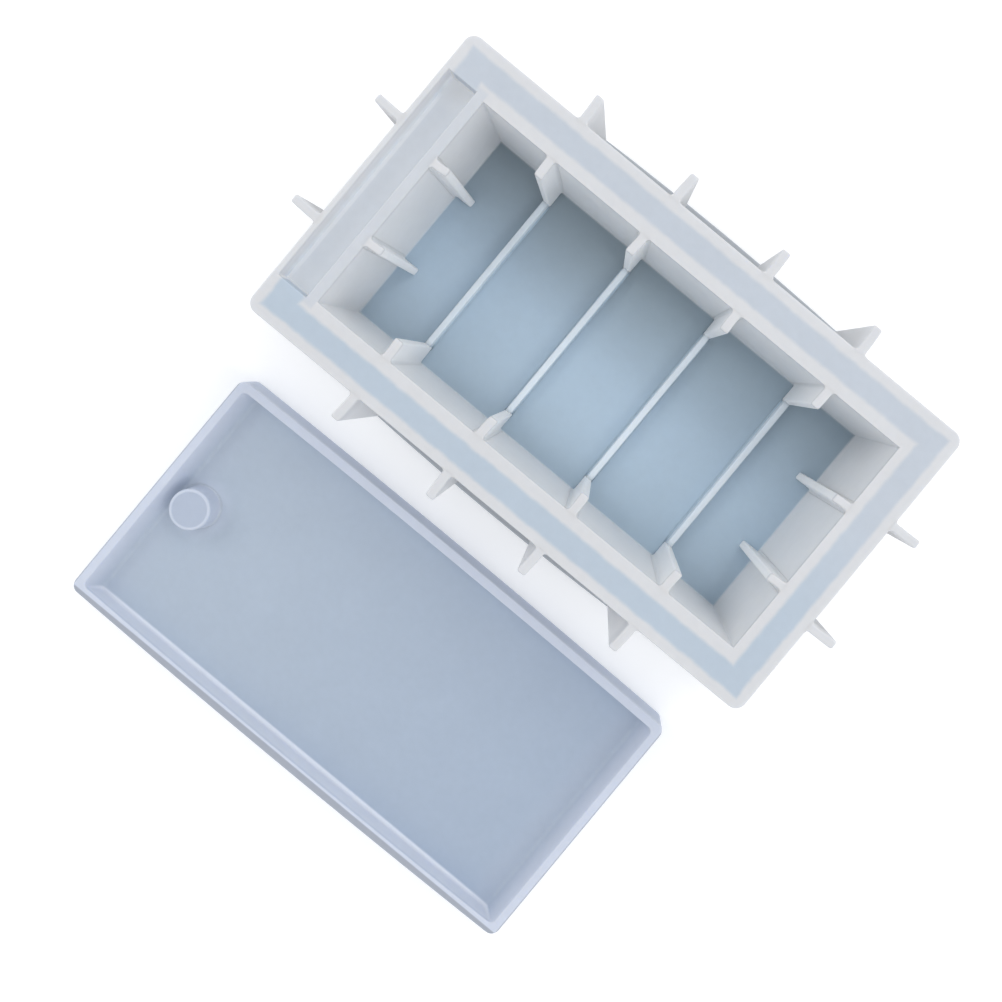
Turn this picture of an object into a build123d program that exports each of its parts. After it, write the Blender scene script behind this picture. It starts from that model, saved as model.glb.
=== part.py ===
from build123d import *
import os

# Silicone casting mould set for a box with a sliding lid. Millimetres, +Z up.
# The box mould stands on its open rim with its base plane up, so the ribbed hollow of its
# core opens upwards and the channel that is filled opens downwards. The lid mould lies
# beside it, towards -Y, with its cavity up. Front is -X, the end where the lid slides in.
# The origin is on the surface both stand on, at the centre of the set's outline.
# Each moulding is one piece of silicone, written here as its separate walls, floors and ribs.

# Box mould: outside, walls and levels
length, width, height = 205.0, 114.0, 60.0
corner_radius = 3.8
outer_wall = 3.5
skin = 3.0                      # floor of the filling channel
plate_bottom = 7.0              # the cast box gets a floor this thick
plate_top = 10.0                # floor of the hollow inside the core

# Core: outer faces, then the hollow at its mouth and at its floor
core_front, core_back, core_half = -89.0, 91.0, 45.5
mouth_front, mouth_back, mouth_half = -85.2, 88.0, 41.6
floor_front, floor_back, floor_half = -85.0, 87.0, 41.5

# Lid notch at the front, and the dovetail ridges that cast the lid's grooves
lid_thickness = 8.0
notch_front, notch_half = -100.5, 42.7
ridge_flare = 1.8

# Flange round the open rim; its long edges bow outwards
flange_width, flange_end_width, flange_bow, flange_thickness = 8.0, 10.1, 4.5, 3.0
flange_corner = 8.0

# Ribs
stations = (-56.8, -18.1, 20.6, 59.0)     # along X
end_stations = (-20.9, 20.9)              # along Y, outside the end walls
inner_stations = (-16.5, 16.5)            # along Y, inside the hollow's end walls
rib, rib_reach, rib_foot_reach = 3.2, 10.0, 11.0
end_rib, end_rib_reach = 3.0, 10.1
gusset_reach = 7.4
inner_rib, inner_reach, inner_floor_reach = 2.9, 5.8, 7.3
cross_rib, cross_rib_top = 2.4, 14.6

# Lid mould
lid_length, lid_width, lid_height, lid_floor = 204.0, 100.8, 12.5, 3.5
lid_corner = 3.3
lid_rim_half, lid_mouth_half, lid_cavity_half = 49.3, 45.9, 47.2
lid_end_wall, lid_end_foot = 3.6, 6.8         # thickness at the rim and at the cavity's floor
boss_radius, boss_x = 7.8, -86.0
centre_distance = 137.8                   # from the box mould's centre to the lid mould's

# Worked out from the above
lid_foot_half = lid_width / 2
outline_top = width / 2 + flange_width + flange_bow
outline_bottom = -centre_distance - lid_foot_half
box_y = -(outline_top + outline_bottom) / 2
lid_y = box_y - centre_distance
inside_length = length - 2 * outer_wall
inside_half = width / 2 - outer_wall
channel_top = height - skin
notch_floor_top = height - lid_thickness
notch_floor_bottom = channel_top - lid_thickness

BOX_PLACE = Pos(0, box_y, 0)
LID_PLACE = Pos(0, lid_y, 0)


def block(x0, x1, y0, y1, z0, z1):
    """A box between two corners."""
    middle = Pos((x0 + x1) / 2, (y0 + y1) / 2, (z0 + z1) / 2)
    return middle * Box(abs(x1 - x0), abs(y1 - y0), abs(z1 - z0))


def rounded_block(size_x, size_y, z0, z1, radius):
    """A box centred on Z with its four upright edges rounded."""
    return Pos(0, 0, z0) * extrude(RectangleRounded(size_x, size_y, radius), z1 - z0)


def along_x(points, x0, x1):
    """A prism along X whose section is the (y, z) outline."""
    section = Plane.YZ.offset(x0) * make_face(Polyline(*points, close=True))
    return extrude(section, amount=x1 - x0, dir=(1, 0, 0))


def along_y(points, y0, y1):
    """A prism along Y whose section is the (x, z) outline."""
    face = make_face(Polyline(*[(x, y0, z) for x, z in points], close=True))
    return extrude(face, amount=y1 - y0, dir=(0, 1, 0))


def slab(station, thickness):
    """A plate across Y at a rib's station, wider and taller than any rib is."""
    x = stations[station]
    return block(x - thickness / 2, x + thickness / 2, -width, width, 0, height)


def save(name, shape, place):
    """Writes one sub-part. The file's name is the sub-part's name."""
    export_step(place * Part(shape.wrapped), f"parts/{name}.step")


def outer_walls():
    shell = rounded_block(length, width, 0, height, corner_radius)
    inside = block(-inside_length / 2, inside_length / 2, -inside_half, inside_half, -1, height + 1)
    shell -= inside
    side = block(-length, length, inside_half, width, -1, height + 1)
    end = block(0, length, -inside_half, inside_half, -1, height + 1)
    notch = block(notch_front, core_front, -notch_half, notch_half, notch_floor_top, height + 1)
    return {
        "outer_wall_left": shell & side,
        "outer_wall_right": shell & mirror(side, Plane.XZ),
        "outer_wall_back": shell & end,
        "outer_wall_front": (shell & mirror(end, Plane.YZ)) - notch,
    }


def rim_flange():
    x, y = length / 2 + flange_end_width, width / 2 + flange_width
    edge = Polyline((-x, y), (-x, -y)) + ThreePointArc((-x, -y), (0, -y - flange_bow), (x, -y))
    edge += Polyline((x, -y), (x, y)) + ThreePointArc((x, y), (0, y + flange_bow), (-x, y))
    outline = make_face(edge)
    outline = fillet(outline.vertices(), flange_corner)
    ring = extrude(outline, flange_thickness)
    ring -= rounded_block(length, width, -1, flange_thickness + 1, corner_radius)
    side = block(-2 * x, 2 * x, width / 2, 2 * y, -1, height)
    end = block(0, 2 * x, -width / 2, width / 2, -1, height)
    return {
        "rim_flange_left": ring & side,
        "rim_flange_right": ring & mirror(side, Plane.XZ),
        "rim_flange_back": ring & end,
        "rim_flange_front": ring & mirror(end, Plane.YZ),
    }


def channel_floors():
    x = inside_length / 2
    return {
        "channel_floor_left": block(-x, x, core_half, inside_half, channel_top, height),
        "channel_floor_right": block(-x, x, -inside_half, -core_half, channel_top, height),
        "channel_floor_back": block(core_back, x, -core_half, core_half, channel_top, height),
        "lid_notch_floor": block(-x, core_front, -core_half, core_half,
                                 notch_floor_bottom, notch_floor_top),
        "lid_notch_wall_left": block(-x, core_front, notch_half, core_half, notch_floor_top, height),
        "lid_notch_wall_right": block(-x, core_front, -core_half, -notch_half,
                                      notch_floor_top, height),
    }


def dovetail_ridges():
    """Ridges along the core; each leaves a groove in the cast box for the lid's edge."""
    points = ((core_half, channel_top), (core_half, notch_floor_bottom),
              (core_half + ridge_flare, notch_floor_bottom))
    left = along_x(points, -inside_length / 2, core_back)
    return {"dovetail_ridge_left": left, "dovetail_ridge_right": mirror(left, Plane.XZ)}


def core():
    """The core's plate and its four walls round the hollow, whose faces have draft."""
    left = along_x(((core_half, plate_top), (core_half, height), (mouth_half, height),
                    (floor_half, plate_top)), core_front, core_back)
    right = mirror(left, Plane.XZ)
    front = along_y(((core_front, plate_top), (core_front, height), (mouth_front, height),
                     (floor_front, plate_top)), -core_half, core_half) - left - right
    back = along_y(((core_back, plate_top), (core_back, height), (mouth_back, height),
                    (floor_back, plate_top)), -core_half, core_half) - left - right
    plate = block(core_front, core_back, -core_half, core_half, plate_bottom, plate_top)
    return {"core_plate": plate, "core_wall_left": left, "core_wall_right": right,
            "core_wall_front": front, "core_wall_back": back}


def outer_ribs():
    parts = {}
    y = width / 2
    side = along_x(((y, flange_thickness), (y + rib_foot_reach, flange_thickness),
                    (y + rib_reach, height), (y, height)), -length, length)
    for i in range(len(stations)):
        one = side & slab(i, rib)
        parts[f"outer_rib_left_{i + 1}"] = one
        parts[f"outer_rib_right_{i + 1}"] = mirror(one, Plane.XZ)
    x = length / 2
    for i, y in enumerate(end_stations, 1):
        one = block(x, x + end_rib_reach, y - end_rib / 2, y + end_rib / 2,
                    flange_thickness, height)
        parts[f"outer_rib_back_{i}"] = one
        parts[f"outer_rib_front_{i}"] = mirror(one, Plane.YZ)
    return parts


def inner_ribs():
    parts = {}
    side = along_x(((floor_half, plate_top), (mouth_half, height),
                    (mouth_half - gusset_reach, height),
                    (floor_half - gusset_reach, plate_top)), -length, length)
    slope = (mouth_half - floor_half) / (height - plate_top)
    low = floor_half - gusset_reach
    high = low + slope * (cross_rib_top - plate_top)
    across = along_x(((-low, plate_top), (low, plate_top), (high, cross_rib_top),
                      (-high, cross_rib_top)), -length, length)
    for i in range(len(stations)):
        one = side & slab(i, rib)
        parts[f"core_gusset_left_{i + 1}"] = one
        parts[f"core_gusset_right_{i + 1}"] = mirror(one, Plane.XZ)
        parts[f"cross_rib_{i + 1}"] = across & slab(i, cross_rib)
    ends = {
        "back": ((floor_back, plate_top), (mouth_back, height), (mouth_back - inner_reach, height),
                 (floor_back - inner_floor_reach, plate_top)),
        "front": ((floor_front, plate_top), (mouth_front, height),
                  (mouth_front + inner_reach, height),
                  (floor_front + inner_floor_reach, plate_top)),
    }
    for end, points in ends.items():
        for i, y in enumerate(inner_stations, 1):
            parts[f"core_rib_{end}_{i}"] = along_y(points, y - inner_rib / 2, y + inner_rib / 2)
    return parts


def lid_mould():
    outline = rounded_block(lid_length, lid_width, 0, lid_height, lid_corner)
    x = lid_length / 2
    left = along_x(((lid_foot_half, lid_floor), (lid_rim_half, lid_height),
                    (lid_mouth_half, lid_height), (lid_cavity_half, lid_floor)), -x, x) & outline
    right = mirror(left, Plane.XZ)
    back = along_y(((x - lid_end_foot, lid_floor), (x, lid_floor), (x, lid_height),
                    (x - lid_end_wall, lid_height)), -lid_foot_half, lid_foot_half)
    back = (back & outline) - left - right
    back = back & block(0, x, -lid_cavity_half, lid_cavity_half, 0, lid_height)
    boss = Pos(boss_x, 0, lid_floor) * extrude(Circle(boss_radius), lid_height - lid_floor)
    return {
        "lid_floor": outline & block(-x, x, -lid_width, lid_width, 0, lid_floor),
        "lid_wall_left": left,
        "lid_wall_right": right,
        "lid_wall_back": back,
        "lid_wall_front": mirror(back, Plane.YZ),
        "finger_hole_boss": boss,
    }


os.makedirs("parts", exist_ok=True)
for group in (outer_walls, rim_flange, channel_floors, dovetail_ridges, core, outer_ribs,
              inner_ribs):
    for name, shape in group().items():
        save(name, shape, BOX_PLACE)
for name, shape in lid_mould().items():
    save(name, shape, LID_PLACE)
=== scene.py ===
"""A silicone mould set: the box mould, standing on its rim with its base plane up, and the lid
mould beside it with its cavity up."""
import math

import bmesh
import bpy
from mathutils import Matrix, Vector


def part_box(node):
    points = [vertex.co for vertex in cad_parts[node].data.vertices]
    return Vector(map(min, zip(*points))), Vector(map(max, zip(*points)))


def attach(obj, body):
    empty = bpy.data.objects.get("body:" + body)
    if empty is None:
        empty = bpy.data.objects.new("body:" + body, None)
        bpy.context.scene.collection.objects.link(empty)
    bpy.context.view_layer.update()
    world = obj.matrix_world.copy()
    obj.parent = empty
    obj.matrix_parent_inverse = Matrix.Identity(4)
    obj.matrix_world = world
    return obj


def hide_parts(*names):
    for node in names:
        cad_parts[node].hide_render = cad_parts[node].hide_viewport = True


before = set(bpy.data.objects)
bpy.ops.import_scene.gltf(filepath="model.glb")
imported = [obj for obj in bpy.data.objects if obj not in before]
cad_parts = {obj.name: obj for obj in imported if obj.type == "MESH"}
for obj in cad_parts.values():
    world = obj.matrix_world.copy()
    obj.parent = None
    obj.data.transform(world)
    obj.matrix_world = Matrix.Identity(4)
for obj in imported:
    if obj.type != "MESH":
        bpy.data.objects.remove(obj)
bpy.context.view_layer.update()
MM = 0.001


# ---------------------------------------------------------------- sizes, read from the frame
def low(node):
    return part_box(node)[0] / MM


def high(node):
    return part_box(node)[1] / MM


BOX_Y = (high("outer_wall_left").y + low("outer_wall_right").y) / 2
LID_Y = (high("lid_floor").y + low("lid_floor").y) / 2
HEIGHT = high("outer_wall_left").z
HALF_X = high("outer_wall_left").x
HALF_Y = high("outer_wall_left").y - BOX_Y
INNER_X = low("outer_wall_back").x                  # inner faces of the outer walls
INNER_Y = low("outer_wall_left").y - BOX_Y
CORE_BACK, CORE_FRONT = high("core_wall_back").x, low("core_wall_front").x
CORE_Y = high("core_wall_left").y - BOX_Y
PLATE_LOW, PLATE_TOP = low("core_plate").z, high("core_plate").z
CHANNEL_TOP = low("channel_floor_left").z
NOTCH_TOP, NOTCH_LOW = high("lid_notch_floor").z, low("lid_notch_floor").z
NOTCH_Y = low("lid_notch_wall_left").y - BOX_Y
RIDGE_Y = high("dovetail_ridge_left").y - BOX_Y
FLANGE_X = high("rim_flange_back").x
FLANGE_Y = high("rim_flange_left").y - BOX_Y
FLANGE_Z = high("rim_flange_left").z
LID_X = high("lid_floor").x
LID_FLOOR, LID_TOP = high("lid_floor").z, high("lid_wall_left").z
BOSS_X = (high("finger_hole_boss").x + low("finger_hole_boss").x) / 2
BOSS_RADIUS = (high("finger_hole_boss").x - low("finger_hole_boss").x) / 2

# Sizes and places on the mouldings, in millimetres
MOUTH_FRONT, MOUTH_BACK, MOUTH_Y = -85.2, 88.0, 41.6       # the hollow at the base plane
FLOOR_FRONT, FLOOR_BACK, FLOOR_Y = -85.0, 87.0, 41.5       # the hollow at its floor
NOTCH_FRONT = -100.5
CORNER, FLANGE_CORNER = 3.8, 8.0
FLANGE_BOW, WALL_BOW = 4.5, 2.2
EDGE = 0.7                                                 # radius of the rounded edges

# Ribs. A reach is the rib's length at its foot and at its top, and a bend is how far its tip
# swings aside.
STATIONS = (-56.8, -18.1, 20.6, 59.0)                      # along X
END_STATIONS = (-20.9, 20.9)                               # along Y, outside the end walls
INNER_STATIONS = (-16.5, 16.5)                             # along Y, inside the hollow
RIB, OUTER_REACH, GUSSET_REACH = 3.2, (11.0, 10.0), (7.4, 7.4)
END_RIB, END_REACH = 3.0, (10.1, 10.1)
INNER_RIB, INNER_REACH = 2.9, (7.3, 5.8)
OUTER_BENDS, END_BEND = (0.5, -0.4, 0.3, 0.6), 0.3
GUSSET_BENDS, INNER_BEND = (0.3, -0.4, 0.2, -0.3), 0.4
RIB_TOP = HEIGHT - 0.03                                    # a hair under the base plane
CROSS_RIB_HALF, CROSS_RIB_FILLET, CROSS_RIB_EDGE = 1.2, 0.6, 0.5
CROSS_RIB_Y = FLOOR_Y - 6.0                                # its end, inside the gusset

# Lid mould
LID_RIM_Y, LID_MOUTH_Y = 49.3, 45.9
LID_END = 4.0                                              # end wall and its edge, from above


# ---------------------------------------------------------------- mesh helpers
def new_object(name, verts, faces):
    """A mesh object from points in millimetres."""
    mesh = bpy.data.meshes.new(name)
    mesh.from_pydata([Vector(v) * MM for v in verts], [], faces)
    obj = bpy.data.objects.new(name, mesh)
    bpy.context.scene.collection.objects.link(obj)
    bm = bmesh.new()
    bm.from_mesh(mesh)
    bmesh.ops.recalc_face_normals(bm, faces=bm.faces)
    bm.to_mesh(mesh)
    bm.free()
    return obj


def loft(name, rings):
    """A closed skin over rings of equal length, with a flat cap at each end."""
    count = len(rings[0])
    verts = [p for ring in rings for p in ring]
    faces = [tuple(reversed(range(count)))]
    for level in range(len(rings) - 1):
        a, b = level * count, (level + 1) * count
        for i in range(count):
            j = (i + 1) % count
            faces.append((a + i, a + j, b + j, b + i))
    last = (len(rings) - 1) * count
    faces.append(tuple(range(last, last + count)))
    return new_object(name, verts, faces)


def frustum(low_box, high_box, z0, z1):
    """A block whose faces have draft: (x0, x1, y0, y1) at each of two levels."""
    rings = []
    for (x0, x1, y0, y1), z in ((low_box, z0), (high_box, z1)):
        rings.append([(x0, y0, z), (x1, y0, z), (x1, y1, z), (x0, y1, z)])
    return loft("frustum", rings)


def block(x0, x1, y0, y1, z0, z1):
    return frustum((x0, x1, y0, y1), (x0, x1, y0, y1), z0, z1)


def rounded_outline(half_x, half_y, radius, bow=0.0, steps=24, arc=6):
    """Points round a rectangle with rounded corners whose long sides bow by `bow` halfway."""
    points = []
    corners = ((1, 1, 0), (-1, 1, 90), (-1, -1, 180), (1, -1, 270))
    for index, (sx, sy, start) in enumerate(corners):
        for k in range(arc + 1):
            a = math.radians(start + 90 * k / arc)
            points.append((sx * (half_x - radius) + radius * math.cos(a),
                           sy * (half_y - radius) + radius * math.sin(a)))
        ny = corners[(index + 1) % 4][1]
        x0, y0 = points[-1]
        if ny == sy:
            x1, y1 = -sx * (half_x - radius), y0
        else:
            x1, y1 = x0, ny * (half_y - radius)
        for k in range(1, steps):
            points.append((x0 + (x1 - x0) * k / steps, y0 + (y1 - y0) * k / steps))
    return [(x, y + math.copysign(bow, y) * max(0.0, 1 - (x / half_x) ** 2))
            for x, y in points]


def prism(outline, z0, z1):
    return loft("prism", [[(x, y, z) for x, y in outline] for z in (z0, z1)])


def combine(obj, other, operation):
    """Boolean of two closed objects; the second is used up."""
    mod = obj.modifiers.new("join", "BOOLEAN")
    mod.operation, mod.solver, mod.object = operation, "EXACT", other
    graph = bpy.context.evaluated_depsgraph_get()
    mesh = bpy.data.meshes.new_from_object(obj.evaluated_get(graph))
    obj.modifiers.clear()
    obj.data = mesh
    bpy.data.objects.remove(other)


def cut_lines(obj, xs, zs):
    """Adds edges where planes across X and Z cross the mesh, so that it can bend there."""
    bm = bmesh.new()
    bm.from_mesh(obj.data)
    for axis, places in ((0, xs), (2, zs)):
        normal = Vector([float(i == axis) for i in range(3)])
        for place in places:
            geometry = bm.verts[:] + bm.edges[:] + bm.faces[:]
            bmesh.ops.bisect_plane(bm, geom=geometry, dist=1e-7, plane_no=normal,
                                   plane_co=normal * place * MM)
    bm.to_mesh(obj.data)
    bm.free()


def tidy(obj):
    """Joins flat neighbouring faces after the booleans."""
    bm = bmesh.new()
    bm.from_mesh(obj.data)
    bmesh.ops.remove_doubles(bm, verts=bm.verts, dist=0.01 * MM)
    bmesh.ops.dissolve_limit(bm, angle_limit=math.radians(0.5), verts=bm.verts, edges=bm.edges)
    bm.to_mesh(obj.data)
    bm.free()


def round_edges(obj, width, segments=3):
    mod = obj.modifiers.new("round", "BEVEL")
    mod.width, mod.segments = width * MM, segments
    mod.limit_method, mod.angle_limit = "ANGLE", math.radians(30)
    graph = bpy.context.evaluated_depsgraph_get()
    mesh = bpy.data.meshes.new_from_object(obj.evaluated_get(graph))
    obj.modifiers.clear()
    obj.data = mesh


def smooth(obj):
    for face in obj.data.polygons:
        face.use_smooth = True
    mod = obj.modifiers.new("normals", "WEIGHTED_NORMAL")
    mod.keep_sharp = True


def flex(obj):
    """The box mould's long walls bow outwards towards the open rim."""
    for v in obj.data.vertices:
        x, y, z = v.co / MM
        depth = max(0.0, min(1.0, (HEIGHT - z) / HEIGHT))
        inside = (abs(y) - CORE_Y) / (INNER_Y - CORE_Y)
        beyond = (FLANGE_Y - FLANGE_BOW - abs(y)) / (FLANGE_Y - FLANGE_BOW - HALF_Y)
        share = max(0.0, min(1.0, inside, beyond))
        along = max(0.0, 1 - (x / HALF_X) ** 2)
        v.co.y += math.copysign(WALL_BOW, y) * MM * along * share * depth ** 1.3
    obj.data.update()


def place(obj, name, y, body, material, nodes):
    """Names a finished piece, moves its mesh to its moulding's centre and hands it to the frame."""
    obj.name = obj.data.name = name
    obj.data.transform(Matrix.Translation((0, y * MM, 0)))
    obj.data.materials.clear()
    obj.data.materials.append(material)
    smooth(obj)
    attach(obj, body)
    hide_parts(*nodes)


# ---------------------------------------------------------------- materials
class Graph:
    """Short forms for the nodes that the materials are made of."""

    def __init__(self, name):
        self.material = bpy.data.materials.new(name)
        self.material.use_nodes = True
        self.nodes = self.material.node_tree.nodes
        self.links = self.material.node_tree.links
        self.shader = self.nodes["Principled BSDF"]

    def feed(self, socket, value):
        if isinstance(value, bpy.types.NodeSocket):
            self.links.new(value, socket)
        elif socket.type == "RGBA":
            socket.default_value = (*value, 1)
        else:
            socket.default_value = value

    def math(self, operation, a, b=0.0, c=0.0):
        node = self.nodes.new("ShaderNodeMath")
        node.operation = operation
        for socket, value in zip(node.inputs, (a, b, c)):
            self.feed(socket, value)
        return node.outputs[0]

    def product(self, first, *others):
        for other in others:
            first = self.math("MULTIPLY", first, other)
        return first

    def ramp(self, value, start, end):
        """0 where value is start, 1 where it is end, smooth between."""
        node = self.nodes.new("ShaderNodeMapRange")
        node.interpolation_type = "SMOOTHSTEP"
        for name, v in (("Value", value), ("From Min", start), ("From Max", end)):
            self.feed(node.inputs[name], v)
        return node.outputs[0]

    def mix(self, share, a, b):
        node = self.nodes.new("ShaderNodeMix")
        node.data_type = "RGBA"
        self.feed(node.inputs["Factor"], share)
        self.feed(node.inputs[6], a)
        self.feed(node.inputs[7], b)
        return node.outputs[2]

    def noise(self, place, scale, detail=2.0, distortion=0.0):
        node = self.nodes.new("ShaderNodeTexNoise")
        node.inputs["Scale"].default_value = scale
        node.inputs["Detail"].default_value = detail
        node.inputs["Distortion"].default_value = distortion
        self.links.new(place, node.inputs["Vector"])
        return node.outputs["Fac"]

    def local(self, centre_y):
        """The moulding's own coordinates in millimetres: a vector, then x, y and z."""
        place = self.nodes.new("ShaderNodeTexCoord").outputs["Object"]
        node = self.nodes.new("ShaderNodeMapping")
        node.inputs["Location"].default_value = (0, -centre_y, 0)
        node.inputs["Scale"].default_value = (1 / MM, 1 / MM, 1 / MM)
        self.links.new(place, node.inputs["Vector"])
        split = self.nodes.new("ShaderNodeSeparateXYZ")
        self.links.new(node.outputs[0], split.inputs[0])
        return (node.outputs[0], *split.outputs)

    def outside(self, x, y, x0, x1, half_y):
        """How far a point is outside a rectangle, seen from above; negative inside."""
        dx = self.math("ABSOLUTE", self.math("SUBTRACT", x, (x0 + x1) / 2))
        dx = self.math("SUBTRACT", dx, (x1 - x0) / 2)
        dy = self.math("SUBTRACT", self.math("ABSOLUTE", y), half_y)
        return self.math("MAXIMUM", dx, dy)

    def outside_circle(self, x, y, centre_x, radius):
        """How far a point is outside an upright cylinder that stands on the x axis."""
        dx = self.math("POWER", self.math("ABSOLUTE", self.math("SUBTRACT", x, centre_x)), 2.0)
        dy = self.math("POWER", self.math("ABSOLUTE", y), 2.0)
        return self.math("SUBTRACT", self.math("SQRT", self.math("ADD", dx, dy)), radius)

    def surface(self, place, colour, depth):
        """Soft satin silicone: a faint mottle, fine specks, and light that spreads inside."""
        mottle = self.noise(place, 0.05, 3.0, 0.4)
        cloud = self.noise(place, 0.35, 2.0)
        shade = self.math("MULTIPLY_ADD", self.math("ADD", mottle, cloud), 0.06, 0.94)
        tinted = self.nodes.new("ShaderNodeVectorMath")
        tinted.operation = "SCALE"
        self.links.new(colour, tinted.inputs[0])
        self.links.new(shade, tinted.inputs["Scale"])
        self.links.new(tinted.outputs[0], self.shader.inputs["Base Color"])
        rough = self.math("MULTIPLY_ADD", cloud, 0.16, 0.36)
        self.links.new(rough, self.shader.inputs["Roughness"])
        grain = self.math("ADD", self.noise(place, 1.6, 4.0), self.math("MULTIPLY", mottle, 2.0))
        bump = self.nodes.new("ShaderNodeBump")
        bump.inputs["Strength"].default_value = 0.25
        bump.inputs["Distance"].default_value = 0.08 * MM
        self.links.new(grain, bump.inputs["Height"])
        self.links.new(bump.outputs[0], self.shader.inputs["Normal"])
        self.shader.inputs["IOR"].default_value = 1.41
        self.shader.inputs["Subsurface Weight"].default_value = depth
        self.shader.inputs["Subsurface Radius"].default_value = (1.0, 1.1, 1.25)
        self.shader.inputs["Subsurface Scale"].default_value = 1.6 * MM


# Colours of the box mould
# Lit and shaded copies of one white silicone: painted light whitens the hollow, painted shade greys
# the outside and the rim
WALL_WHITE = (0.85, 0.855, 0.865)
RIM_WHITE = (0.69, 0.695, 0.71)
OUTSIDE_SHADED_WHITE = (0.66, 0.67, 0.69)
HOLLOW_LIT_WHITE = (0.96, 0.965, 0.97)
# Outer ribs: paler towards -Y, greyer towards +Y and darkest at the ends, painted light and shade
RIB_SHADED_GREY, RIB_LIT_PALE, RIB_SHADE = (0.60, 0.61, 0.625), (0.76, 0.765, 0.775), (0.46, 0.465, 0.475)
# Blues of the thin skins over the channel, the notch and the plate: painted see-through shade
BAND_BLUE, BAND_DEEP = (0.55, 0.595, 0.655), (0.50, 0.575, 0.655)
NOTCH_BLUE, NOTCH_PALE = (0.72, 0.755, 0.80), (0.93, 0.945, 0.96)
PLATE_BLUE = (0.475, 0.595, 0.705)
# Slate on the plate along its walls: a painted shadow
PLATE_SHADOW_SLATE, PLATE_SHADOW_SLATE_BACK = (0.295, 0.36, 0.405), (0.355, 0.445, 0.515)
# Grey on the flange: painted shade
FLANGE_SHADE_GREY = (0.47, 0.495, 0.525)
RIB_CYAN = (0.755, 0.825, 0.885)

# Colours of the lid mould
# The lid's floor: blue painted see-through shade, paler towards -X and darker towards +X, painted
# light and shade
LID_SHADED_BLUE, LID_LIT_PALE = (0.41, 0.485, 0.595), (0.46, 0.53, 0.62)
LID_RIM = (0.64, 0.685, 0.785)
# Inner and outer lid walls: lighter colours, painted light that lifts their shade
LID_WALL_LIT, LID_SIDE_LIT = (0.74, 0.78, 0.86), (0.53, 0.59, 0.71)
# Dark rim edge at -Y and at the ends: painted shade
LID_EDGE_SHADE = (0.40, 0.43, 0.49)
# The boss's bright ring: a painted highlight on its rounded top edge
BOSS_BLUE, BOSS_RING_HIGHLIGHT = (0.48, 0.54, 0.65), (0.60, 0.65, 0.75)

BOX_DEPTH, LID_DEPTH = 0.35, 0.3                # how much of the light spreads inside


# Each of the next four functions gives where a tint lies, from 0 to 1, and the tint.
def channel_band(g, place, x, y):
    """The blue band where the silicone over the channel is thin, with an uneven edge. The blue is
    painted see-through shade, the shaded channel under the thin skin, a little darker towards -Y.
    """
    wobble = g.math("MULTIPLY", g.math("SUBTRACT", g.noise(place, 0.22, 3.0), 0.5), 1.2)
    off_wall = g.math("ADD", g.outside(x, y, -INNER_X, INNER_X, INNER_Y), wobble)
    off_core = g.math("ADD", g.outside(x, y, CORE_FRONT, CORE_BACK, CORE_Y), wobble)
    share = g.product(g.ramp(off_wall, 0.7, -1.0), g.ramp(off_core, -0.4, 1.3))
    # painted see-through shade, a little darker towards -Y
    return share, g.mix(g.ramp(y, -30, 30), BAND_DEEP, BAND_BLUE)


def notch_tint(g, x, y, z):
    """The floor of the lid notch, paler at its ends, painted light that lifts the shade of the
    notch walls, most at +Y, and paler along its front edge.
    """
    across = g.math("ABSOLUTE", y)
    share = g.product(g.ramp(z, NOTCH_TOP + 4.0, NOTCH_TOP + 0.5),
                      g.ramp(z, NOTCH_LOW, NOTCH_TOP - 0.3),
                      g.ramp(x, CORE_FRONT + 0.2, CORE_FRONT - 0.6),
                      g.ramp(x, NOTCH_FRONT - 0.9, NOTCH_FRONT),
                      g.ramp(across, CORE_Y, CORE_Y - 1.0))
    # painted light at the notch's ends, lifting the walls' shade, most at +Y
    ends = g.product(g.ramp(across, NOTCH_Y - 12, NOTCH_Y),
                     g.math("MULTIPLY_ADD", g.ramp(y, -10, 10), 0.65, 0.35))
    front = g.product(g.ramp(x, NOTCH_FRONT + 1.8, NOTCH_FRONT + 1.1), 0.5)
    return share, g.mix(g.math("MAXIMUM", ends, front), NOTCH_BLUE, NOTCH_PALE)


def hollow_floor(g, x, y, z):
    """The core's thin plate. Its top darkens towards +Y and, less, towards -Y: a painted shadow of
    the walls, in slate that is darker towards the front.
    """
    off_hollow = g.outside(x, y, FLOOR_FRONT, FLOOR_BACK, FLOOR_Y)
    share = g.product(g.ramp(off_hollow, 0.3, -0.7), g.ramp(z, PLATE_TOP + 0.9, PLATE_TOP + 0.2))
    # painted shadow of the hollow's walls, strongest at +Y
    painted_shadow = g.math("ADD", g.product(g.ramp(y, -4.0, FLOOR_Y - 2), 0.95),
                 g.product(g.ramp(y, -8.0, -FLOOR_Y), 0.27))
    painted_shadow = g.product(painted_shadow, g.ramp(z, PLATE_LOW + 1, PLATE_TOP - 1))
    slate = g.mix(g.ramp(x, -30, 60), PLATE_SHADOW_SLATE, PLATE_SHADOW_SLATE_BACK)
    return share, g.mix(painted_shadow, PLATE_BLUE, slate)


def flange_tint(g, x, y, z):
    """The flange round the open rim, from its top down, in grey: painted shade over its thin skin.
    """
    off_outside = g.outside(x, y, -HALF_X, HALF_X, HALF_Y)
    share = g.product(g.ramp(off_outside, 0.2, 1.5), g.ramp(z, FLANGE_Z + 0.6, FLANGE_Z + 0.1))
    return share, FLANGE_SHADE_GREY


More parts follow.
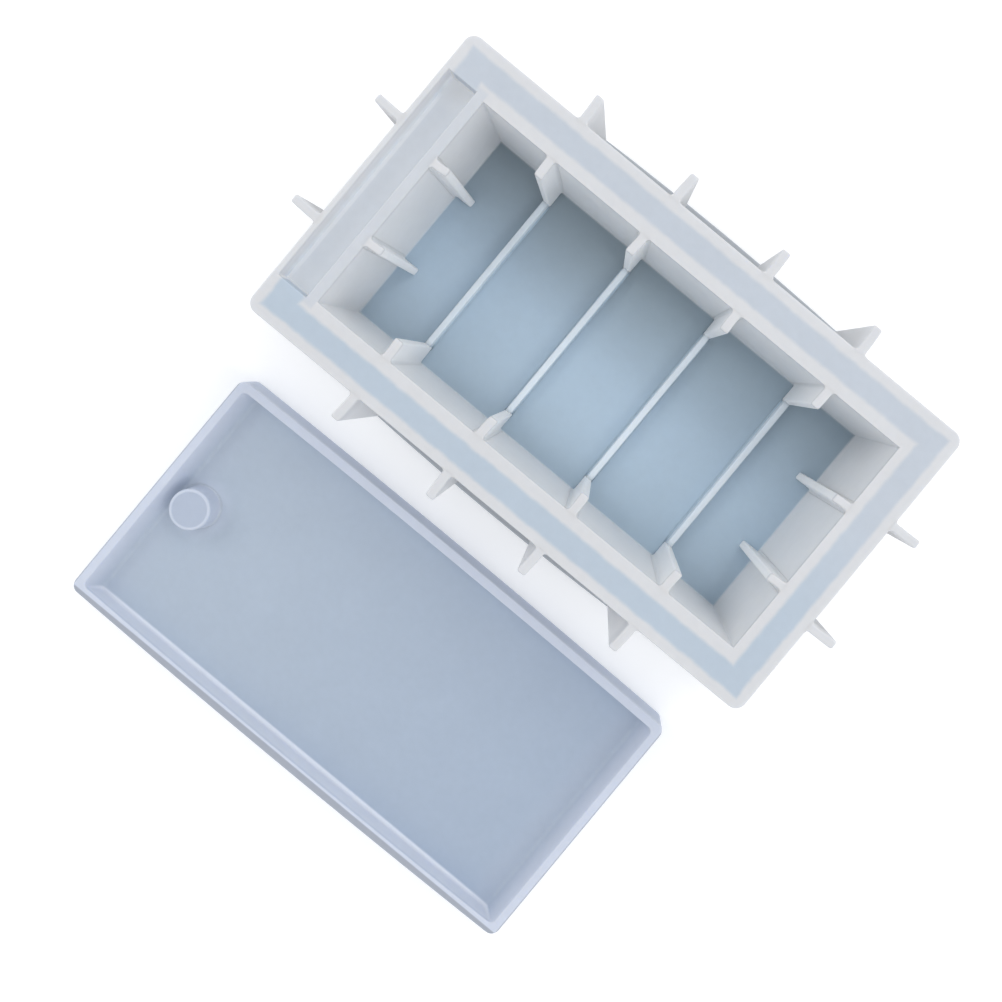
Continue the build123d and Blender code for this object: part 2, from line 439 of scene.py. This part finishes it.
def wall_colour(g, x, y, z):
    """Walls, rims and ribs: one silicone in lit and shaded copies, painted light and shade: whitest
    in the hollow, greyer on the outside and on the base plane's rim, and the outer ribs greyer
    towards +Y and at the ends.
    """
    off_outside = g.outside(x, y, -HALF_X, HALF_X, HALF_Y)
    off_hollow = g.outside(x, y, FLOOR_FRONT, FLOOR_BACK, FLOOR_Y)
    along, across = g.math("ABSOLUTE", x), g.math("ABSOLUTE", y)
    ribs = g.product(g.ramp(off_outside, 0.0, 0.8), g.ramp(z, HEIGHT - 1, HEIGHT - 12))
    # outer ribs paler towards -Y, greyer towards +Y and darker at the ends: painted light and shade
    rib = g.mix(g.ramp(y, -HALF_Y, HALF_Y), RIB_LIT_PALE, RIB_SHADED_GREY)
    rib = g.mix(g.ramp(along, HALF_X, HALF_X + 1.0), rib, RIB_SHADE)
    in_hollow = g.product(g.ramp(off_hollow, 0.0, -1.0), g.ramp(z, HEIGHT, HEIGHT - 1.5))
    front_rim = g.product(g.ramp(x, MOUTH_FRONT + 0.3, MOUTH_FRONT - 0.6),
                          g.ramp(x, CORE_FRONT - 1.5, CORE_FRONT - 0.5),
                          g.ramp(across, CORE_Y, CORE_Y - 2.0), 0.5)
    rim = g.mix(front_rim, RIM_WHITE, BAND_BLUE)
    # greyer on the outside and whitest in the hollow: painted shade and painted light
    colour = g.mix(g.ramp(off_outside, -2.5, -1.5), WALL_WHITE, OUTSIDE_SHADED_WHITE)
    colour = g.mix(ribs, colour, rib)
    colour = g.mix(in_hollow, colour, HOLLOW_LIT_WHITE)
    return g.mix(g.ramp(z, HEIGHT - 2.0, HEIGHT - 0.4), colour, rim)


def box_silicone():
    """White where the silicone is deep, in lit and shaded copies that are painted light and shade;
    pale blue over the channel and blue in the core's thin plate, painted see-through shade; slate
    on the plate, a painted shadow; and grey in the flange, painted shade."""
    g = Graph("box_silicone")
    place, x, y, z = g.local(BOX_Y)
    colour = wall_colour(g, x, y, z)
    for share, tint in (channel_band(g, place, x, y), notch_tint(g, x, y, z),
                        hollow_floor(g, x, y, z), flange_tint(g, x, y, z)):
        colour = g.mix(share, colour, tint)
    g.surface(place, colour, BOX_DEPTH)
    return g.material


def cross_rib_silicone():
    """The low ribs on the thin plate: pale, and the plate's blue at their feet."""
    g = Graph("cross_rib_silicone")
    place, _, _, z = g.local(BOX_Y)
    colour = g.mix(g.ramp(z, PLATE_TOP + 0.3, PLATE_TOP + 0.8), PLATE_BLUE, RIB_CYAN)
    g.surface(place, colour, BOX_DEPTH)
    return g.material


def lid_field(g, x, off_end, off_boss):
    """The lid mould's thin floor, paler towards its ends and round the boss, painted light that
    lifts the shade there, and paler towards -X and darker towards +X, painted light and shade.
    """
    # painted light near the ends and round the boss, lifting the shade there
    painted_light_ends = g.math("MAXIMUM", g.product(g.ramp(off_end, -4.5, 0.2), 0.9),
                     g.product(g.ramp(off_end, -16.0, -3.5), 0.25))
    painted_glow = g.math("MAXIMUM", painted_light_ends, g.product(g.ramp(off_boss, 7.0, 0.5), 0.4))
    # paler towards -X, darker towards +X: painted light and shade
    field = g.mix(g.ramp(x, -LID_X, LID_X), LID_LIT_PALE, LID_SHADED_BLUE)
    return g.mix(painted_glow, field, LID_RIM)


def lid_silicone():
    """Lavender blue in the thin floor, painted see-through shade, paler towards the rim and lighter
    on the walls, painted light, and dark along the rim's outer edge at -Y and at both ends, painted
    shade, with a painted highlight ring on the boss."""
    g = Graph("lid_silicone")
    place, x, y, z = g.local(LID_Y)
    off_end = g.math("SUBTRACT", g.math("ABSOLUTE", x), LID_X - LID_END)
    off_field = g.outside(x, y, LID_END - LID_X, LID_X - LID_END, LID_MOUTH_Y)
    off_boss = g.outside_circle(x, y, BOSS_X, BOSS_RADIUS)
    # the inner and outer walls get lighter colours below: painted light
    inner_wall = g.product(g.ramp(off_field, 0.1, 0.9), g.ramp(off_field, 2.6, 1.8))
    outer_wall = g.ramp(off_field, 1.8, 2.6)
    rim = g.ramp(z, LID_TOP - 2.0, LID_TOP - 0.6)
    # painted shade along the rim's outer edge at -Y and at both ends
    edge = g.math("MAXIMUM", g.ramp(off_end, 3.2, 3.7),
                  g.ramp(y, 1.2 - LID_RIM_Y, 0.6 - LID_RIM_Y))
    raised = g.ramp(z, LID_FLOOR - 0.8, LID_FLOOR)
    cap = g.product(g.ramp(off_boss, 0.3, -0.3), raised)
    # a painted highlight round the boss's top edge
    ring = g.product(g.ramp(off_boss, -1.5, -0.9), g.ramp(off_boss, 0.6, 0.0), raised)
    colour = lid_field(g, x, off_end, off_boss)
    for share, tint in ((inner_wall, LID_WALL_LIT), (outer_wall, LID_SIDE_LIT), (rim, LID_RIM),
                        (g.product(edge, rim), LID_EDGE_SHADE), (cap, BOSS_BLUE), (ring, BOSS_RING_HIGHLIGHT)):
        colour = g.mix(share, colour, tint)
    g.surface(place, colour, LID_DEPTH)
    return g.material


box_material = box_silicone()
cross_rib_material = cross_rib_silicone()
lid_material = lid_silicone()


# ---------------------------------------------------------------- box mould shell
def cut_hollow_and_notch(shell):
    """Cuts both from above the base plane, so the hollow's draft goes on up to the cut's top."""
    slope = (HEIGHT + 1 - PLATE_TOP) / (HEIGHT - PLATE_TOP)
    top = tuple(f + (m - f) * slope for f, m in (
        (FLOOR_FRONT, MOUTH_FRONT), (FLOOR_BACK, MOUTH_BACK),
        (-FLOOR_Y, -MOUTH_Y), (FLOOR_Y, MOUTH_Y)))
    floor = (FLOOR_FRONT, FLOOR_BACK, -FLOOR_Y, FLOOR_Y)
    combine(shell, frustum(floor, top, PLATE_TOP, HEIGHT + 1), "DIFFERENCE")
    combine(shell, block(NOTCH_FRONT, CORE_FRONT, -NOTCH_Y, NOTCH_Y, NOTCH_TOP, HEIGHT + 1),
            "DIFFERENCE")


def box_shell():
    """Outer walls, flange, channel floors, notch and core: one continuous skin."""
    shell = prism(rounded_outline(HALF_X, HALF_Y, CORNER, steps=1), 0, HEIGHT)
    flange = rounded_outline(FLANGE_X, FLANGE_Y - FLANGE_BOW, FLANGE_CORNER, FLANGE_BOW)
    combine(shell, prism(flange, 0, FLANGE_Z), "UNION")
    combine(shell, block(-INNER_X, INNER_X, -INNER_Y, INNER_Y, -5, CHANNEL_TOP), "DIFFERENCE")
    inside_skin = HEIGHT - 1                    # ends inside the base plane's skin
    combine(shell, block(CORE_FRONT, CORE_BACK, -CORE_Y, CORE_Y, PLATE_LOW, inside_skin),
            "UNION")
    combine(shell, block(-INNER_X - 0.5, CORE_FRONT + 0.5, -CORE_Y, CORE_Y, NOTCH_LOW,
                         inside_skin), "UNION")
    for side in (-1, 1):
        outline = [(side * (CORE_Y - 1), CHANNEL_TOP + 1), (side * (CORE_Y - 1), NOTCH_LOW),
                   (side * RIDGE_Y, NOTCH_LOW), (side * CORE_Y, CHANNEL_TOP),
                   (side * CORE_Y, CHANNEL_TOP + 1)]
        rings = [[(x, y, z) for y, z in outline] for x in (-INNER_X - 0.5, CORE_BACK)]
        combine(shell, loft("ridge", rings), "UNION")
    cut_hollow_and_notch(shell)
    tidy(shell)
    round_edges(shell, EDGE)
    cut_lines(shell, range(-96, 100, 12), range(6, 60, 9))
    flex(shell)
    stands_for = [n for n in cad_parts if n.startswith(
        ("outer_wall", "rim_flange", "channel_floor", "lid_notch", "dovetail", "core_wall",
         "core_plate"))]
    place(shell, "box_mould_shell", BOX_Y, "box_mould", box_material, stands_for)


# ---------------------------------------------------------------- ribs
def at_depth(mouth, floor, z):
    """A place that is at mouth on the base plane and at floor on the hollow's floor."""
    return floor + (mouth - floor) * (z - PLATE_TOP) / (HEIGHT - PLATE_TOP)


def rib_outline(reach, half, fillet=1.1, tip=0.7, root=1.2):
    """Plan of a rib as (along, across): a flared root in the wall, and a rounded tip."""
    side = [(-root, half + fillet)]
    for k in range(6):
        a = math.radians(90 * k / 5)
        side.append((fillet - fillet * math.cos(a), half + fillet - fillet * math.sin(a)))
    for share in (0.35, 0.7):
        side.append((fillet + (reach - tip - fillet) * share, half))
    for k in range(5):
        a = math.radians(90 * k / 4)
        side.append((reach - tip + tip * math.sin(a), half - tip + tip * math.cos(a)))
    return side + [(s, -t) for s, t in reversed(side)]


def upright_rib(root, along, reach, thickness, z0, bend, sink=1.5):
    """A rib from z0 to RIB_TOP that stands out of a wall. root(z) is where its middle line
    meets the wall, along is the direction it stands out in, and sink is how far it starts
    below z0."""
    across = Vector((-along.y, along.x, 0))
    levels = [z0 - sink] + [z0 + (RIB_TOP - z0 - EDGE) * k / 9 for k in range(10)]
    levels += [RIB_TOP - EDGE + EDGE * math.sin(math.radians(a)) for a in (30, 60, 90)]
    rings = []
    for z in levels:
        share = max(0.0, (z - z0) / (RIB_TOP - z0))
        inset = 0.0
        if z > RIB_TOP - EDGE:
            inset = EDGE - math.sqrt(max(0.0, EDGE ** 2 - (z - RIB_TOP + EDGE) ** 2))
        length = reach[0] + (reach[1] - reach[0]) * share - inset
        ring = []
        for s, t in rib_outline(length, thickness / 2 - inset):
            swing = bend * (max(0.0, s) / length) ** 2 * (0.3 + 0.7 * share)
            ring.append(root(z) + along * s + across * (t + swing))
        rings.append(ring)
    return loft("rib", rings)


def build_outer_ribs():
    for side, word in ((1, "left"), (-1, "right")):
        for i, x in enumerate(STATIONS):
            def root(z):
                return Vector((x, side * HALF_Y, z))
            rib = upright_rib(root, Vector((0, side, 0)), OUTER_REACH, RIB, FLANGE_Z,
                              OUTER_BENDS[i] * side)
            flex(rib)
            name = f"outer_rib_{word}_{i + 1}"
            place(rib, name, BOX_Y, "box_mould", box_material, [name])
    for end, word in ((1, "back"), (-1, "front")):
        for i, y in enumerate(END_STATIONS):
            def root(z):
                return Vector((end * HALF_X, y, z))
            rib = upright_rib(root, Vector((end, 0, 0)), END_REACH, END_RIB, FLANGE_Z,
                              END_BEND * end)
            name = f"outer_rib_{word}_{i + 1}"
            place(rib, name, BOX_Y, "box_mould", box_material, [name])


def build_inner_ribs():
    for side, word in ((1, "left"), (-1, "right")):
        for i, x in enumerate(STATIONS):
            def root(z):
                return Vector((x, side * at_depth(MOUTH_Y, FLOOR_Y, z), z))
            rib = upright_rib(root, Vector((0, -side, 0)), GUSSET_REACH, RIB, PLATE_TOP,
                              GUSSET_BENDS[i])
            name = f"core_gusset_{word}_{i + 1}"
            place(rib, name, BOX_Y, "box_mould", box_material, [name])
    for end, word, mouth, floor in ((1, "back", MOUTH_BACK, FLOOR_BACK),
                                    (-1, "front", MOUTH_FRONT, FLOOR_FRONT)):
        for i, y in enumerate(INNER_STATIONS):
            def root(z):
                return Vector((at_depth(mouth, floor, z), y, z))
            rib = upright_rib(root, Vector((-end, 0, 0)), INNER_REACH, INNER_RIB, PLATE_TOP,
                              INNER_BEND)
            name = f"core_rib_{word}_{i + 1}"
            place(rib, name, BOX_Y, "box_mould", box_material, [name])


def cross_rib_outline():
    """The cross rib's section as (across, height): flared at the plate, rounded on top."""
    half, top = CROSS_RIB_HALF, high("cross_rib_1").z
    side = [(half + CROSS_RIB_FILLET, PLATE_TOP - 1), (half + CROSS_RIB_FILLET, PLATE_TOP)]
    for k in range(1, 5):
        a = math.radians(90 * k / 4)
        side.append((half + CROSS_RIB_FILLET - CROSS_RIB_FILLET * math.sin(a),
                     PLATE_TOP + CROSS_RIB_FILLET - CROSS_RIB_FILLET * math.cos(a)))
    side.append((half, top - CROSS_RIB_EDGE))
    for k in range(1, 4):
        a = math.radians(90 * k / 3)
        side.append((half - CROSS_RIB_EDGE + CROSS_RIB_EDGE * math.cos(a),
                     top - CROSS_RIB_EDGE + CROSS_RIB_EDGE * math.sin(a)))
    return side + [(-u, z) for u, z in reversed(side)]


def build_cross_ribs():
    spans = 20
    for i, x in enumerate(STATIONS):
        rings = []
        for k in range(spans + 1):
            y = -CROSS_RIB_Y + 2 * CROSS_RIB_Y * k / spans
            rings.append([(x + u, y, z) for u, z in cross_rib_outline()])
        name = f"cross_rib_{i + 1}"
        place(loft("rib", rings), name, BOX_Y, "box_mould", cross_rib_material, [name])


# ---------------------------------------------------------------- lid mould
def build_lid():
    """One skin: the underside, up the outer walls, over the rim and down into the cavity."""
    # How far the ring is inside LID_X, its half width, its corner, its sides' bow, its height
    profile = ((0.6, 49.6, 2.9, 0.9, 0.0),
               (0.15, 50.0, 3.2, 0.9, 0.25),
               (0, 50.2, 3.3, 0.9, 0.8),
               (0, 50.2, 3.3, 0.7, 3.5),
               (0, 50.2, 3.3, 0.0, 7.0),
               (0, 50.2, 3.3, -0.7, 10.5),
               (0.05, 50.15, 3.3, -1.1, LID_TOP - 0.5),
               (0.2, 50.0, 3.2, -1.1, LID_TOP - 0.15),
               (0.5, 49.7, 3.0, -1.1, LID_TOP),
               (3.1, 47.1, 2.2, -0.9, LID_TOP),
               (3.4, 46.8, 2.0, -0.9, LID_TOP - 0.15),
               (3.65, 46.7, 1.9, -0.9, LID_TOP - 0.5),
               (5.0, 47.0, 1.9, -0.2, 8.5),
               (6.2, 47.3, 1.9, 0.4, 5.5),
               (6.7, 47.2, 1.9, 0.5, 4.3),
               (7.3, 46.6, 1.9, 0.5, 3.75),
               (8.4, 45.6, 1.9, 0.4, LID_FLOOR))
    rings = []
    for inset, half_y, corner, bow, z in profile:
        outline = rounded_outline(LID_X - inset, half_y, corner, bow, steps=20)
        rings.append([(x, y, z) for x, y in outline])
    place(loft("tray", rings), "lid_mould_tray", LID_Y, "lid_mould", lid_material,
          [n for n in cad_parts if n.startswith(("lid_floor", "lid_wall"))])


def build_boss():
    """A round boss with a flared foot and a top that is slightly sunk inside its edge."""
    # How far outside BOSS_RADIUS the ring is, and its height
    profile = ((0.8, LID_FLOOR - 0.5), (0.8, LID_FLOOR), (0.25, LID_FLOOR + 0.3),
               (0, LID_FLOOR + 0.9), (0, 8.0), (0, LID_TOP - 0.9), (-0.1, LID_TOP - 0.5),
               (-0.35, LID_TOP - 0.15), (-0.7, LID_TOP), (-1.1, LID_TOP - 0.1),
               (-1.5, LID_TOP - 0.3), (-3.5, LID_TOP - 0.35))
    count = 64
    rings = []
    for offset, z in profile:
        radius = BOSS_RADIUS + offset
        rings.append([(BOSS_X + radius * math.cos(2 * math.pi * k / count),
                       radius * math.sin(2 * math.pi * k / count), z) for k in range(count)])
    place(loft("boss", rings), "finger_hole_boss_top", LID_Y, "lid_mould", lid_material,
          ["finger_hole_boss"])


box_shell()
build_outer_ribs()
build_inner_ribs()
build_cross_ribs()
build_lid()
build_boss()


# ---------------------------------------------------------------- floor, light and camera
FLOOR_SIZE, FLOOR_DROP = 6, 0.0002              # metres; the drop keeps it off the undersides
LAMP_SIZE, KEY_POWER, SIDE_POWER = 0.6, 3.0, 2.2        # metres and watts


def build_floor():
    bpy.ops.mesh.primitive_plane_add(size=FLOOR_SIZE, location=(0, 0, -FLOOR_DROP))
    floor = bpy.context.object
    floor.name = "floor"
    material = bpy.data.materials.new("floor")
    material.use_nodes = True
    shader = material.node_tree.nodes["Principled BSDF"]
    shader.inputs["Base Color"].default_value = (0.93, 0.93, 0.935, 1)
    shader.inputs["Roughness"].default_value = 0.8
    shader.inputs["Emission Color"].default_value = (1, 1, 1, 1)
    shader.inputs["Emission Strength"].default_value = 0.2
    floor.data.materials.append(material)


def soft_light(name, location, power, colour):
    """A round lamp that shines at the origin."""
    data = bpy.data.lights.new(name, "AREA")
    data.shape, data.size, data.energy, data.color = "DISK", LAMP_SIZE, power, colour
    lamp = bpy.data.objects.new(name, data)
    lamp.location = location
    lamp.rotation_euler = (-Vector(location)).to_track_quat("-Z", "Y").to_euler()
    bpy.context.scene.collection.objects.link(lamp)


def build_light():
    world = bpy.data.worlds.new("studio")
    bpy.context.scene.world = world
    world.use_nodes = True
    back = world.node_tree.nodes["Background"]
    back.inputs["Color"].default_value = (0.95, 0.97, 1.0, 1)
    back.inputs["Strength"].default_value = 0.78
    soft_light("key", (0.1, 0.95, 1.0), KEY_POWER, (1.0, 0.99, 0.97))
    soft_light("left", (-0.95, 0.05, 0.8), SIDE_POWER, (1.0, 0.99, 0.98))
    soft_light("right", (0.95, 0.05, 0.8), SIDE_POWER, (0.97, 0.98, 1.0))


def build_camera():
    """Straight above the box mould's centre, turned so that the mouldings lie on the slant."""
    distance, turn = 0.300, math.radians(39.7)      # from the base plane
    across = 0.3206                                 # width of the picture, on the base plane
    data = bpy.data.cameras.new("camera")
    data.sensor_width = 36
    data.lens = distance / across * data.sensor_width
    data.shift_x, data.shift_y = -0.1038, -0.1287
    camera = bpy.data.objects.new("camera", data)
    camera.location = (0, BOX_Y * MM, HEIGHT * MM + distance)
    camera.rotation_euler = (0, 0, turn)
    bpy.context.scene.collection.objects.link(camera)
    bpy.context.scene.camera = camera


build_floor()
build_light()
build_camera()
bpy.context.scene.view_settings.view_transform = "Standard"
